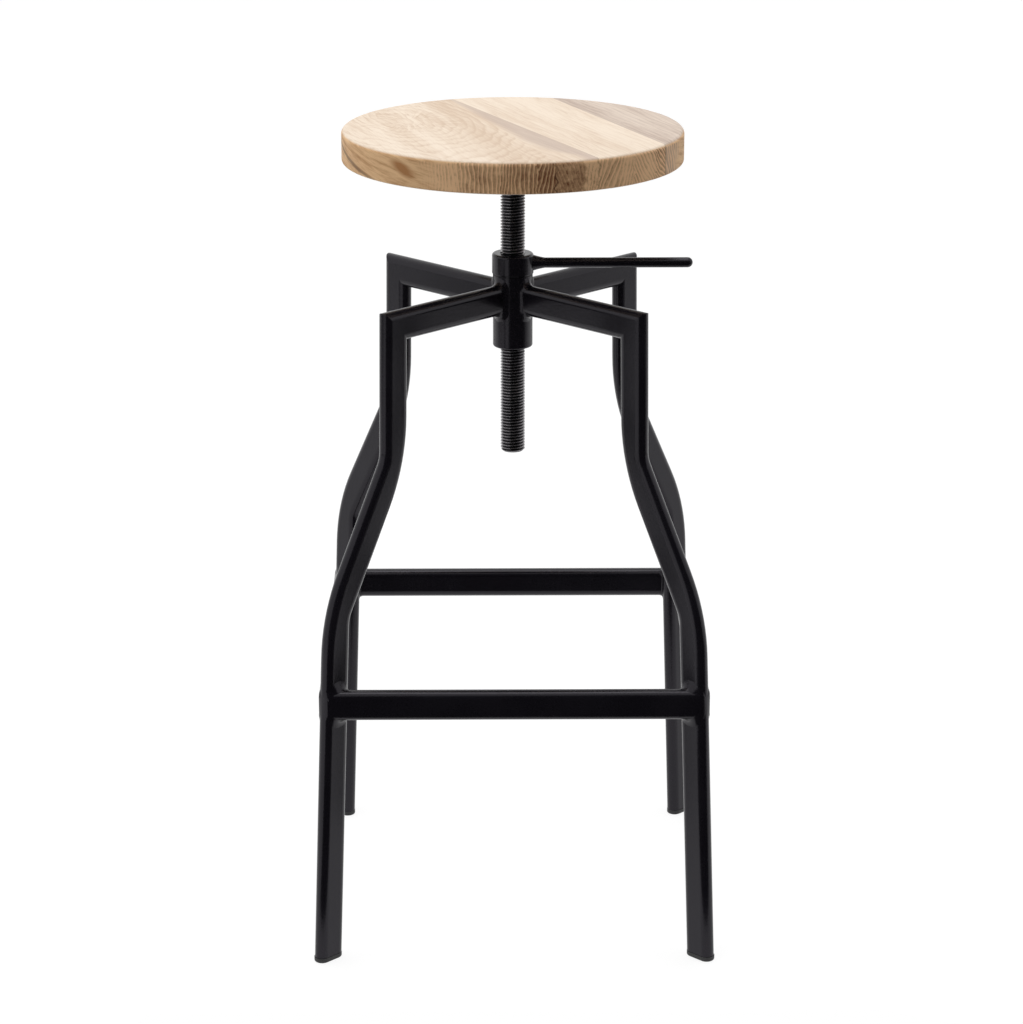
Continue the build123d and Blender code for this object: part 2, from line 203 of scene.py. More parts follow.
class Nodes:
    """Short calls for wiring one node tree."""

    def __init__(self, tree):
        self.tree = tree

    def node(self, kind):
        """New node."""
        return self.tree.nodes.new(kind)

    def put(self, socket, value):
        """Link a socket, or set a constant."""
        if isinstance(value, bpy.types.NodeSocket):
            self.tree.links.new(value, socket)
        elif socket.type == "RGBA":
            socket.default_value = (*value, 1)
        else:
            socket.default_value = value

    def math(self, operation, a, b=0.0, clamp=False):
        """Math on one or two numbers."""
        node = self.node("ShaderNodeMath")
        node.operation = operation
        node.use_clamp = clamp
        self.put(node.inputs[0], a)
        self.put(node.inputs[1], b)
        return node.outputs[0]

    def add(self, a, b):
        """Sum of two numbers."""
        return self.math("ADD", a, b)

    def times(self, a, b):
        """Product of two numbers."""
        return self.math("MULTIPLY", a, b)

    def centred(self, value):
        """Noise value moved to lie about zero."""
        return self.add(value, -0.5)

    def from_centre(self, a, b):
        """Distance of a place from the centre, from its two coordinates."""
        return self.math("SQRT", self.add(self.times(a, a), self.times(b, b)))

    def step(self, value, low, high):
        """Smooth ramp from 0 at low to 1 at high."""
        node = self.node("ShaderNodeMapRange")
        node.interpolation_type = "SMOOTHSTEP"
        self.put(node.inputs["Value"], value)
        node.inputs["From Min"].default_value = low
        node.inputs["From Max"].default_value = high
        return node.outputs["Result"]

    def blend(self, factor, a, b):
        """Mix two colours."""
        node = self.node("ShaderNodeMix")
        node.data_type = "RGBA"
        self.put(node.inputs["Factor"], factor)
        self.put(node.inputs[6], a)
        self.put(node.inputs[7], b)
        return node.outputs[2]

    def between(self, factor, a, b):
        """Mix two numbers."""
        node = self.node("ShaderNodeMix")
        node.data_type = "FLOAT"
        self.put(node.inputs["Factor"], factor)
        self.put(node.inputs[2], a)
        self.put(node.inputs[3], b)
        return node.outputs[0]

    def turned(self, vector, turn, scale=(1, 1, 1)):
        """Vector turned about the upright axis, then scaled."""
        spin = self.node("ShaderNodeMapping")
        self.put(spin.inputs["Vector"], vector)
        spin.inputs["Rotation"].default_value = (0, 0, turn)
        stretch = self.node("ShaderNodeMapping")
        self.put(stretch.inputs["Vector"], spin.outputs["Vector"])
        stretch.inputs["Scale"].default_value = scale
        return stretch.outputs["Vector"]

    def split(self, vector):
        """X, Y and Z of a vector."""
        node = self.node("ShaderNodeSeparateXYZ")
        self.put(node.inputs[0], vector)
        return node.outputs[0], node.outputs[1], node.outputs[2]

    def join(self, x, y):
        """Flat vector from X and Y."""
        node = self.node("ShaderNodeCombineXYZ")
        self.put(node.inputs[0], x)
        self.put(node.inputs[1], y)
        return node.outputs[0]

    def noise(self, vector, scale, detail=2.0, rough=0.5):
        """Noise value between 0 and 1."""
        node = self.node("ShaderNodeTexNoise")
        self.put(node.inputs["Vector"], vector)
        node.inputs["Scale"].default_value = scale
        node.inputs["Detail"].default_value = detail
        node.inputs["Roughness"].default_value = rough
        return node.outputs["Fac"]

    def ramp(self, value, *stops):
        """Number ramp through (position, level) stops."""
        node = self.node("ShaderNodeValToRGB")
        self.put(node.inputs["Fac"], value)
        elements = node.color_ramp.elements
        while len(elements) < len(stops):
            elements.new(0.5)
        for element, (position, level) in zip(elements, stops):
            element.position = position
            element.color = (level, level, level, 1)
        return node.outputs["Color"]


class Graph(Nodes):
    """Node tree of one new material."""

    def __init__(self, name):
        self.material = bpy.data.materials.new(name)
        self.material.use_nodes = True
        super().__init__(self.material.node_tree)
        self.tree.nodes.clear()
        self.surface = self.node("ShaderNodeBsdfPrincipled")
        self.output = self.node("ShaderNodeOutputMaterial")
        self.put(self.output.inputs["Surface"], self.surface.outputs["BSDF"])
        self.where = self.node("ShaderNodeTexCoord")

    def bump(self, height, distance, strength):
        """Relief on the surface."""
        node = self.node("ShaderNodeBump")
        node.inputs["Strength"].default_value = strength
        node.inputs["Distance"].default_value = distance
        self.put(node.inputs["Height"], height)
        self.put(self.surface.inputs["Normal"], node.outputs["Normal"])

    def finish(self, **sockets):
        """Set or link the surface's sockets by name."""
        for name, value in sockets.items():
            self.put(self.surface.inputs[name.replace("_", " ").title().replace("Ior", "IOR")], value)
        return self.material


def powder_coat(name, base, thin, peel=1.0, lumps=None):
    """Satin black coat with a faint orange peel and slightly uneven gloss.

    lumps is the distance from the spindle within which weld beads show through.
    """
    g = Graph(name)
    p = g.where.outputs["Object"]
    cloud = g.noise(p, 14, 3)
    grain = g.noise(p, 950, 2, 0.6)
    tone = g.step(g.add(g.times(cloud, 0.6), g.times(grain, 0.4)), 0.42, 0.66)
    relief = g.add(g.times(g.noise(p, 420, 2), 0.7), g.times(grain, 0.3))
    if lumps:
        bead = g.times(g.step(g.split(p)[0], lumps, lumps - 0.003), g.noise(p, 330, 2))
        relief = g.add(relief, g.times(bead, 7))
    g.bump(relief, 0.00012 * peel, 0.55)
    return g.finish(base_color=g.blend(tone, base, thin), roughness=g.between(cloud, 0.16, 0.25),
                    specular_ior_level=0.32, specular_tint=(0.95, 0.91, 1.0))


def oiled_thread(name, base, crest_highlight_tone):
    """Dark oiled steel with rubbed crests, brightened further as a painted highlight."""
    g = Graph(name)
    p = g.where.outputs["Object"]
    radius = g.from_centre(*g.split(p)[:2])
    patch = g.noise(p, 60, 3)
    # Brighter crests: rubbed steel with a painted highlight on top of it
    rub_and_highlight = g.times(g.step(radius, *CREST_HIGHLIGHT), g.between(patch, 0.55, 1.3))
    g.bump(g.noise(p, 900, 2), 0.00005, 0.4)
    return g.finish(base_color=g.blend(g.math("MINIMUM", rub_and_highlight, 1.0), base, crest_highlight_tone),
                    roughness=g.between(patch, 0.2, 0.34), metallic=0.85)


def moulded_plastic(name, base):
    """Matt black plastic with a fine moulded texture."""
    g = Graph(name)
    p = g.where.outputs["Object"]
    fine = g.noise(p, 1500, 2, 0.6)
    cloud = g.noise(p, 40, 2)
    lighter = tuple(min(1.0, v * 1.5) for v in base)
    g.bump(fine, 0.00008, 0.5)
    return g.finish(base_color=g.blend(cloud, base, lighter), roughness=g.between(fine, 0.5, 0.62))


def zinc_plate(name, base):
    """Bright zinc with fine turning marks and a cloudy tone."""
    g = Graph(name)
    p = g.where.outputs["Object"]
    cloud = g.noise(p, 220, 3)
    darker = tuple(v * 0.7 for v in base)
    g.bump(g.noise(p, 2600, 2), 0.00003, 0.4)
    return g.finish(base_color=g.blend(cloud, darker, base), roughness=g.between(cloud, 0.28, 0.42), metallic=1.0)


def board_wood(name, wood, direction, pale, dark, rings, lines, ends, fan=None, streak=None, shade=None, joints=(),
               end_spacing=0.0037, end_grey=0.0, knots=False):
    """Figured board: growth rings on the faces, end grain and side grain on the seat's edge.

    rings is (along, across, squeeze, spacing) of the figure on the faces, in the board's own directions.
    lines is the strength of the ring lines. fan is (along, across, reach) of a burst of rays.
    streak is (across, widths, colour) of heart wood that ends sharply at across; widths are stops along the board.
    shade is (from, to, amount) of a darker tone that grows across the board.
    ends lists the blocks of end grain along the rim as (start, slant, tone, line strength).
    joints lists (direction, distance, zigzag, strength) of the glue lines that end on the edge.
    end_spacing is the distance of the end grain's lines, and end_grey how grey it has turned.
    knots adds the knot and the drying check to the side grain.
    """
    g = Graph(name)
    p = g.where.outputs["Object"]
    n = g.where.outputs["Normal"]
    along, across = g.split(g.turned(p, -direction))[:2]
    facing_along, _, facing_up = g.split(g.turned(n, -direction))

    # Figure on the top and the underside
    at_along, at_across, squeeze, spacing = rings
    drift = g.centred(g.noise(g.turned(p, -direction, (5, 16, 16)), 1, 3))
    ripple = g.centred(g.noise(g.turned(p, -direction, (30, 130, 130)), 1, 2))
    run = g.times(g.add(along, -at_along), squeeze)
    side = g.add(across, -at_across)
    radius = g.from_centre(run, side)
    phase = g.add(g.add(g.times(radius, 1 / spacing), g.times(drift, 7)), g.times(ripple, 0.7))
    ring = g.ramp(g.math("FRACT", phase), (0, 0.1), (0.5, 0.3), (0.82, 1.0), (1.0, 0.1))
    ring = g.times(ring, g.noise(g.turned(p, -direction, (14, 40, 40)), 1, 2))
    fibre = g.noise(g.turned(p, -direction, (26, 700, 400)), 1, 3, 0.6)
    pores = g.step(g.noise(g.turned(p, -direction, (70, 1100, 600)), 1, 1), 0.6, 0.72)
    broad = g.noise(g.turned(p, -direction, (4, 34, 10)), 1, 3, 0.6)
    level = g.add(g.times(ring, lines), g.times(g.centred(fibre), 1.3))
    level = g.add(level, g.times(g.add(broad, -0.44), 1.9))
    if fan:
        fan_along, fan_across, reach = fan
        ray_run = g.add(along, -fan_along)
        ray_side = g.add(across, -fan_across)
        spread = g.from_centre(ray_run, ray_side)
        swing = g.add(g.math("ARCTAN2", ray_side, ray_run), g.times(drift, 0.9))
        ray = g.noise(g.join(g.times(swing, 11), g.times(spread, 26)), 1, 3, 0.55)
        burst = g.times(g.step(spread, reach, reach * 0.45), g.step(spread, 0.004, 0.026))
        level = g.add(level, g.times(burst, g.times(g.add(ray, -0.46), 2.7)))
    if shade:
        low, high, amount = shade
        level = g.add(level, g.times(g.step(g.add(across, g.times(drift, 0.05)), low, high), amount))
    level = g.math("ADD", level, g.times(pores, 0.3), clamp=True)
    face = g.blend(level, pale, dark)
    if streak:
        limit, widths, tint = streak
        width = g.times(g.ramp(g.add(g.times(along, 1 / SEAT_DIAMETER), 0.5), *widths), HEART_MOST)
        inside = g.add(g.add(across, -limit), g.add(width, g.times(drift, 0.016)))
        band = g.times(g.step(inside, -0.008, 0.007), g.between(fibre, 0.55, 1.15))
        face = g.blend(g.math("MINIMUM", band, 1.0), face, tint)

    # Side grain on the edge, laid out along the rim
    x, y, z = g.split(p)
    height = g.add(z, -EDGE_MIDDLE)
    rim = g.times(g.math("ARCTAN2", y, x), RIM_RADIUS)
    sloped = g.add(z, g.times(rim, 0.18))
    side_figure = g.noise(g.join(g.times(rim, 26), g.times(sloped, 210)), 1, 4, 0.62)
    side_fine = g.noise(g.join(g.times(rim, 60), g.times(sloped, 1500)), 1, 2)
    side_level = g.add(g.step(side_figure, 0.36, 0.8), g.times(g.centred(side_fine), 0.9))
    if knots:
        from_knot = g.add(rim, -KNOT_RIM)
        knot_rise = g.add(g.add(z, -KNOT_HEIGHT), g.times(from_knot, 0.35))
        near = g.add(g.math("POWER", g.times(from_knot, 62), 2.0), g.math("POWER", g.times(knot_rise, 150), 2.0))
        near = g.add(near, g.add(g.times(side_figure, 3.4), g.times(side_fine, 0.9)))
        knot = g.step(near, 3.4, 1.1)
        check = g.add(g.add(z, -CHECK_HEIGHT), g.times(g.add(rim, -CHECK_RIM), 0.22))
        check = g.add(check, g.times(g.centred(side_figure), 0.005))
        check = g.times(g.step(g.math("ABSOLUTE", check), 0.003, 0.0008), g.step(rim, CHECK_END, CHECK_END - 0.03))
        side_level = g.add(side_level, g.times(knot, 1.7))
    side_level = g.math("ADD", side_level, 0.0, clamp=True)
    side_wood = g.blend(side_level, wood.edge_pale, wood.edge_tan)
    if knots:
        side_wood = g.blend(g.times(check, 0.62), side_wood, wood.glue)

    # End grain in blocks that are finger-jointed to each other
    teeth = g.add(g.math("PINGPONG", z, FINGER), -FINGER / 2)
    mottle = g.noise(g.join(g.times(rim, 240), g.times(z, 260)), 1, 3, 0.6)
    ragged = g.add(g.times(teeth, 0.7), g.times(g.centred(mottle), 0.006))
    slant, end_tone, end_lines = ends[0][1:]
    for start, next_slant, next_tone, next_lines in ends[1:]:
        past = g.step(g.add(rim, ragged), start - BLOCK_CHANGE, start + BLOCK_CHANGE)
        slant = g.between(past, slant, next_slant)
        end_tone = g.between(past, end_tone, next_tone)
        end_lines = g.between(past, end_lines, next_lines)
    lean = g.add(rim, g.times(height, slant))
    end_drift = g.noise(g.join(g.times(rim, 30), g.times(z, 18)), 1, 2)
    end_phase = g.add(g.times(lean, 1 / end_spacing), g.times(end_drift, 6))
    end_ring = g.ramp(g.math("FRACT", end_phase), (0, 1.0), (0.5, 0.72), (0.72, 0.05), (0.84, 0.0), (1.0, 1.0))
    end_fine = g.noise(g.join(g.times(lean, 1400), g.times(z, 160)), 1, 2)
    end_cloud = g.noise(g.join(g.times(rim, 46), g.times(z, 50)), 1, 3, 0.6)
    end_level = g.add(g.times(end_ring, end_lines), g.times(g.centred(end_fine), 0.9))
    end_level = g.add(end_level, g.times(g.centred(end_cloud), 1.2))
    end_level = g.add(end_level, g.times(g.centred(mottle), g.add(1.1, g.times(end_lines, -1.0))))
    end_level = g.math("ADD", end_level, end_tone, clamp=True)
    end_wood = g.blend(end_grey, g.blend(end_level, wood.end_pale, wood.end_dark), wood.grey)
    endness = g.step(g.add(g.math("ABSOLUTE", facing_along), g.times(g.centred(end_cloud), 0.12)), 0.62, 0.74)
    edge = g.blend(endness, side_wood, end_wood)
    for joint_direction, joint_at, zigzag, strength in joints:
        joint_across = g.split(g.turned(p, -joint_direction))[1]
        offset = g.add(g.add(joint_across, -joint_at), g.times(ragged, zigzag))
        line = g.step(g.math("ABSOLUTE", offset), 0.0014, 0.0003)
        line = g.times(line, g.between(g.step(z, *JOINT_FADE), JOINT_FAINT, strength))
        edge = g.blend(line, edge, wood.glue)

    # The faces run over into the edge on the eased corners
    flat = g.step(g.math("ABSOLUTE", facing_up), 0.45, 0.92)
    tone = g.blend(flat, edge, face)
    relief = g.between(flat, g.times(end_level, -0.6), g.add(g.times(fibre, 0.5), g.times(pores, -0.9)))
    g.bump(relief, 0.00016, 0.5)
    return g.finish(base_color=tone, roughness=g.between(level, 0.52, 0.64), specular_ior_level=0.2)


# Modelling helpers

def clear_selection():
    """Leave object mode with nothing selected."""
    if bpy.context.object and bpy.context.object.mode != "OBJECT":
        bpy.ops.object.mode_set(mode="OBJECT")
    bpy.ops.object.select_all(action="DESELECT")


def only(piece):
    """Make one piece the selected and active one."""
    clear_selection()
    piece.select_set(True)
    bpy.context.view_layer.objects.active = piece


def pick(piece, test):
    """In edit mode, select just the vertices that pass a test on their place."""
    bpy.ops.mesh.select_all(action="DESELECT")
    bpy.ops.object.mode_set(mode="OBJECT")
    for vertex in piece.data.vertices:
        vertex.select = bool(test(vertex.co))
    bpy.ops.object.mode_set(mode="EDIT")


def settle(piece):
    """Write the piece's place into its mesh."""
    only(piece)
    bpy.ops.object.transform_apply(location=True, rotation=True, scale=True)


def wrap(piece, target, method):
    """Press a piece onto another object's surface, to the nearest place or straight along -X."""
    only(piece)
    modifier = piece.modifiers.new("press", "SHRINKWRAP")
    modifier.target = target
    modifier.wrap_method = method
    if method == "PROJECT":
        modifier.use_project_x = True
        modifier.use_negative_direction = True
        modifier.use_positive_direction = False
    bpy.ops.object.modifier_apply(modifier=modifier.name)


def dress(piece, body, material):
    """Give a finished piece its material and its body."""
    piece.data.materials.clear()
    piece.data.materials.append(material)
    only(piece)
    bpy.ops.object.shade_smooth_by_angle(angle=math.radians(50))
    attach(piece, body)


def coat_nodes(names, material):
    """Give CAD pieces a material."""
    for name in names:
        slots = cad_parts[name].data.materials
        slots.clear()
        slots.append(material)


def tube_ring(name, long_side, short_side, count=64):
    """Flat-oval ring, long side along local Y, made from a circle whose halves are drawn apart."""
    clear_selection()
    bpy.ops.mesh.primitive_circle_add(vertices=count, radius=short_side / 2, location=(0, 0, 0))
    ring = bpy.context.object
    ring.name = name
    bpy.ops.object.mode_set(mode="EDIT")
    reach = (long_side - short_side) / 2
    pick(ring, lambda co: co.y > -1e-7)
    bpy.ops.transform.translate(value=(0, reach, 0))
    pick(ring, lambda co: co.y < -1e-7)
    bpy.ops.transform.translate(value=(0, -reach, 0))
    bpy.ops.object.mode_set(mode="OBJECT")
    return ring


def outwards(piece):
    """Turn every face of a piece outwards."""
    only(piece)
    bpy.ops.object.mode_set(mode="EDIT")
    bpy.ops.mesh.select_all(action="SELECT")
    bpy.ops.mesh.normals_make_consistent(inside=False)
    bpy.ops.object.mode_set(mode="OBJECT")


def joined(pieces):
    """Join pieces into the first one."""
    clear_selection()
    for piece in pieces:
        piece.select_set(True)
    bpy.context.view_layer.objects.active = pieces[0]
    bpy.ops.object.join()


def bridged(name, rings):
    """Join rings into one closed band, each bridged to the next and the last to the first."""
    for index, ring in enumerate(rings):
        group = ring.vertex_groups.new(name=str(index))
        group.add([vertex.index for vertex in ring.data.vertices], 1.0, "REPLACE")
    joined(rings)
    band = rings[0]
    band.name = name
    bpy.ops.object.mode_set(mode="EDIT")
    for index in range(len(rings)):
        bpy.ops.mesh.select_all(action="DESELECT")
        for row in (index, (index + 1) % len(rings)):
            band.vertex_groups.active = band.vertex_groups[str(row)]
            bpy.ops.object.vertex_group_select()
        bpy.ops.mesh.bridge_edge_loops()
    bpy.ops.object.mode_set(mode="OBJECT")
    band.vertex_groups.clear()
    outwards(band)
    return band


def fillet_weld(name, size, legs, start, target, rim=None, runout=None):
    """Closed hollow fillet weld round an upright flat-oval tube that runs along X and ends on a target.

    legs is the weld's leg length on the flat sides and on the rounded top and bottom. Rows go round the tube:
    the root on the joint, then the hollow face from the tube to its toe on the target. Rows start inside the
    tube's span and are pressed along X onto the target. Points that pass beside the target stop at rim.
    runout gives the rows on the outer flat, which stands proud of the target, so that the weld runs out smoothly.
    """
    flat_leg, round_leg = legs
    flat_half = (size.tube_long - size.tube_short) / 2
    round_height = size.tube_long / 2 - flat_half

    def over(co):
        """How far a place lies over the rounded top or bottom: 0 on the flats, 1 at the crown."""
        return min(max((abs(co.z - start.z) - flat_half) / round_height, 0.0), 1.0)

    made = []
    for index, (grow, advance) in enumerate(FILLET_ROWS):
        inner = grow * flat_leg
        outer = 0.0 if runout else inner
        ring = tube_ring(name, size.tube_long + 2 * grow * round_leg, size.tube_short + outer + inner)
        ring.rotation_euler = (math.radians(90), 0, math.radians(90))
        ring.location = start + Vector((0, (inner - outer) / 2, 0))
        settle(ring)
        wrap(ring, target, "PROJECT")
        made.append(ring)
        if rim is not None:
            bpy.ops.object.mode_set(mode="EDIT")
            pick(ring, lambda co: co.x > start.x - 1e-4)
            bpy.ops.transform.translate(value=(rim - start.x, 0, 0))
            bpy.ops.object.mode_set(mode="OBJECT")
        for vertex in ring.data.vertices:
            vertex.co.x += advance * (flat_leg + (round_leg - flat_leg) * over(vertex.co))
        if runout:
            past, behind, swell = runout[index]
            for vertex, root in zip(ring.data.vertices, made[0].data.vertices):
                share = 1 - over(root.co) if root.co.y < start.y else 0.0
                share = share * share * (3 - 2 * share)
                place = Vector((rim + past, root.co.y + behind, root.co.z))
                vertex.co = vertex.co.lerp(place, share)
                # Above the bar the leg leans away, so less is needed there
                swell_here = swell * (0.5 if root.co.z > start.z else 1.0)
                vertex.co.y -= swell_here * 4 * share * (1 - share)
    wrap(made[-1], target, "NEAREST_SURFACEPOINT")
    return bridged(name, made)


def four_about_axis(piece):
    """Three copies of a piece, turned by quarters about the spindle's axis and joined with it into one mesh."""
    made = [piece]
    for turn in (90, 180, 270):
        only(piece)
        bpy.ops.object.duplicate()
        copy = bpy.context.object
        copy.rotation_euler = (0, 0, math.radians(turn))
        settle(copy)
        made.append(copy)
    joined(made)


# Operators, one for each piece or group of like pieces

class STOOL_OT_seat(bpy.types.Operator):
    """Give each seat board its own figure, and end grain on the edge."""
    bl_idname = "stool.seat"
    bl_label = "Seat boards"

    def execute(self, context):
        wood = context.scene.stool_wood
        size = context.scene.stool_sizes
        left, middle, right = size.glue_left, size.glue_middle, size.glue_right
        joint_left = (left, -size.left_at, 1.0, 0.8)
        joint_middle = (middle, size.middle_at, 0.8, 0.2)
        joint_right = (right, size.right_at, 0.0, 0.3)
        coat_nodes(["seat_board_left"], board_wood(
            "wood_left", wood, left, wood.pale, wood.tan, rings=(-0.06, -0.088, 0.5, 0.0085), lines=0.9,
            ends=LEFT_ENDS, fan=(-0.064, -0.085, 0.068), shade=(-0.09, -0.02, 0.42), joints=[joint_left],
            knots=True))
        coat_nodes(["seat_board_heart"], board_wood(
            "wood_heart", wood, middle, wood.pale, wood.tan, rings=(0.2, -0.6, 0.1, 0.006), lines=0.5,
            ends=HEART_ENDS, streak=(size.middle_at, HEART_WIDTHS, wood.heart), shade=(-1.0, -0.9, 0.34),
            joints=[joint_left, joint_middle]))
        coat_nodes(["seat_board_middle"], board_wood(
            "wood_middle", wood, right, wood.pale, wood.tan, rings=(0.3, -0.9, 0.12, 0.0075), lines=0.5,
            ends=MIDDLE_ENDS, joints=[joint_middle, joint_right], end_spacing=0.0046))
        coat_nodes(["seat_board_right"], board_wood(
            "wood_right", wood, right, wood.grey, wood.grey_dark, rings=(-0.4, 0.7, 0.1, 0.006), lines=0.8,
            ends=RIGHT_ENDS, shade=(0.135, 0.1, 0.3), joints=[joint_right], end_spacing=0.0062, end_grey=0.25))
        return {"FINISHED"}


class STOOL_OT_frame(bpy.types.Operator):
    """Coat the tubes, hub, collar, lever and seat plate."""
    bl_idname = "stool.frame"
    bl_label = "Coated frame"

    def execute(self, context):
        metal = context.scene.stool_metal
        coat = powder_coat("powder_coat", metal.coat, metal.coat_worn)
        names = ["hub", "lock_collar", "seat_plate"]
        names += [part + "_" + corner for part in ("leg", "arm") for corner in CORNERS]
        names += ["bar_" + side for side in SIDES]
        coat_nodes(names, coat)
        coat_nodes(["lock_lever"], powder_coat("lever_coat", metal.coat, metal.coat_worn, lumps=LEVER_ROOT))
        powder_coat("weld_coat", metal.coat, metal.coat_worn, peel=1.8)
        return {"FINISHED"}


class STOOL_OT_spindle(bpy.types.Operator):
    """Finish the spindle's thread, its crests with a painted highlight, and the washer under the collar, darkened as
    painted shade.
    """
    bl_idname = "stool.spindle"
    bl_label = "Spindle and washer"

    def execute(self, context):
        metal = context.scene.stool_metal
        coat_nodes(["spindle"], oiled_thread("oiled_thread", metal.thread, metal.thread_crest_highlight))
        # Near-black washer: dark steel deepened as painted shade of the groove between collar and hub
        coat_nodes(["friction_washer"], powder_coat("washer_black_painted_shade", metal.washer, metal.coat, peel=0.5))
        return {"FINISHED"}


class STOOL_OT_feet(bpy.types.Operator):
    """Finish the foot plugs."""
    bl_idname = "stool.feet"
    bl_label = "Foot plugs"

    def execute(self, context):
        plastic = moulded_plastic("foot_plastic", context.scene.stool_metal.plastic)
        coat_nodes(["foot_" + corner for corner in CORNERS], plastic)
        return {"FINISHED"}


class STOOL_OT_screws(bpy.types.Operator):
    """Model the seat screws with domed heads and cross recesses."""
    bl_idname = "stool.screws"
    bl_label = "Seat screws"

    def execute(self, context):
        size = context.scene.stool_sizes
        low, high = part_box("seat_screws")
        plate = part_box("seat_plate")[0].z
        head = size.screw_head / 2
        reach = (high.x - head) * math.sqrt(2)
        thick = plate - low.z
        clear_selection()
        bpy.ops.mesh.primitive_cylinder_add(
            vertices=40, radius=head, depth=thick, location=(0, 0, low.z + thick / 2))
        screw = bpy.context.object
        screw.name = "seat_screw_set"
        settle(screw)
        bpy.ops.object.mode_set(mode="EDIT")
        pick(screw, lambda co: co.z < low.z + 1e-5)
        bpy.ops.mesh.bevel(offset=thick * 0.62, segments=6, affect="EDGES")
        pick(screw, lambda co: co.z > plate - 1e-5)
        bpy.ops.mesh.inset(thickness=head - size.screw_shank / 2)
        bpy.ops.mesh.extrude_region_move(TRANSFORM_OT_translate={"value": (0, 0, high.z - plate - SCREW_TIP)})
        bpy.ops.mesh.extrude_region_move(TRANSFORM_OT_translate={"value": (0, 0, SCREW_TIP)})
        bpy.ops.transform.resize(value=(0.15, 0.15, 1))
        bpy.ops.object.mode_set(mode="OBJECT")
        for turn in (0, 90):
            clear_selection()
            bpy.ops.mesh.primitive_cube_add(size=1, location=(0, 0, low.z))
            slot = bpy.context.object
            slot.scale = (head * 1.1, head * 0.22, thick * 1.1)
            slot.rotation_euler = (0, 0, math.radians(turn))
            settle(slot)
            only(screw)
            cut = screw.modifiers.new("recess", "BOOLEAN")
            cut.operation = "DIFFERENCE"
            cut.object = slot
            bpy.ops.object.modifier_apply(modifier=cut.name)
            bpy.data.objects.remove(slot)
        screw.location = (reach, 0, 0)
        settle(screw)
        four_about_axis(screw)
        screw.rotation_euler = (0, 0, math.radians(45))
        settle(screw)
        outwards(screw)
        dress(screw, "seat", zinc_plate("zinc_plate", context.scene.stool_metal.zinc))
        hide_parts("seat_screws")
        return {"FINISHED"}


class STOOL_OT_plate_weld(bpy.types.Operator):
    """Lay a small weld round the spindle under the seat plate."""
    bl_idname = "stool.plate_weld"
    bl_label = "Plate weld"

    def execute(self, context):
        leg = context.scene.stool_sizes.plate_weld
        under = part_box("seat_plate")[0].z
        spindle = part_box("spindle")[1].x
        rows = ((spindle - leg, under), (spindle - leg, under - leg), (spindle + leg * 0.6, under - leg * 0.6),
                (spindle + leg, under))
        made = []
        for radius, height in rows:
            clear_selection()
            bpy.ops.mesh.primitive_circle_add(vertices=72, radius=radius, location=(0, 0, height))
            made.append(bpy.context.object)
            settle(made[-1])
        weld = bridged("plate_weld", made)
        dress(weld, "seat", bpy.data.materials["weld_coat"])
        return {"FINISHED"}


class STOOL_OT_hub_welds(bpy.types.Operator):
    """Lay a fillet weld round each arm where it meets the hub."""
    bl_idname = "stool.hub_welds"
    bl_label = "Hub welds"

    def execute(self, context):
        size = context.scene.stool_sizes
        low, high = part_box("arm_back_right")
        start = Vector((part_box("hub")[1].x + HUB_CLEAR, 0, (low.z + high.z) / 2))
        legs = (size.hub_weld, size.hub_weld_round)
        weld = fillet_weld("hub_welds", size, legs, start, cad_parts["hub"])
        four_about_axis(weld)
        weld.rotation_euler = (0, 0, math.radians(45))
        settle(weld)
        dress(weld, "frame", bpy.data.materials["weld_coat"])
        return {"FINISHED"}


class STOOL_OT_bar_welds(bpy.types.Operator):
    """Lay a fillet weld round both ends of each foot bar."""
    bl_idname = "stool.bar_welds"
    bl_label = "Bar welds"

    def execute(self, context):
        size = context.scene.stool_sizes
        low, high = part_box("bar_front")
        middle = (low + high) / 2
        start = Vector((low.x + BAR_CLEAR, middle.y, middle.z))
        legs = (size.bar_weld, size.bar_weld_round)
        weld = fillet_weld("bar_welds", size, legs, start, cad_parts["leg_front_left"], low.x, BAR_RUNOUT)
        only(weld)
        bpy.ops.object.duplicate()
        other = bpy.context.object
        other.scale = (-1, 1, 1)
        settle(other)
        outwards(other)
        joined([weld, other])
        four_about_axis(weld)
        dress(weld, "frame", bpy.data.materials["weld_coat"])
        return {"FINISHED"}


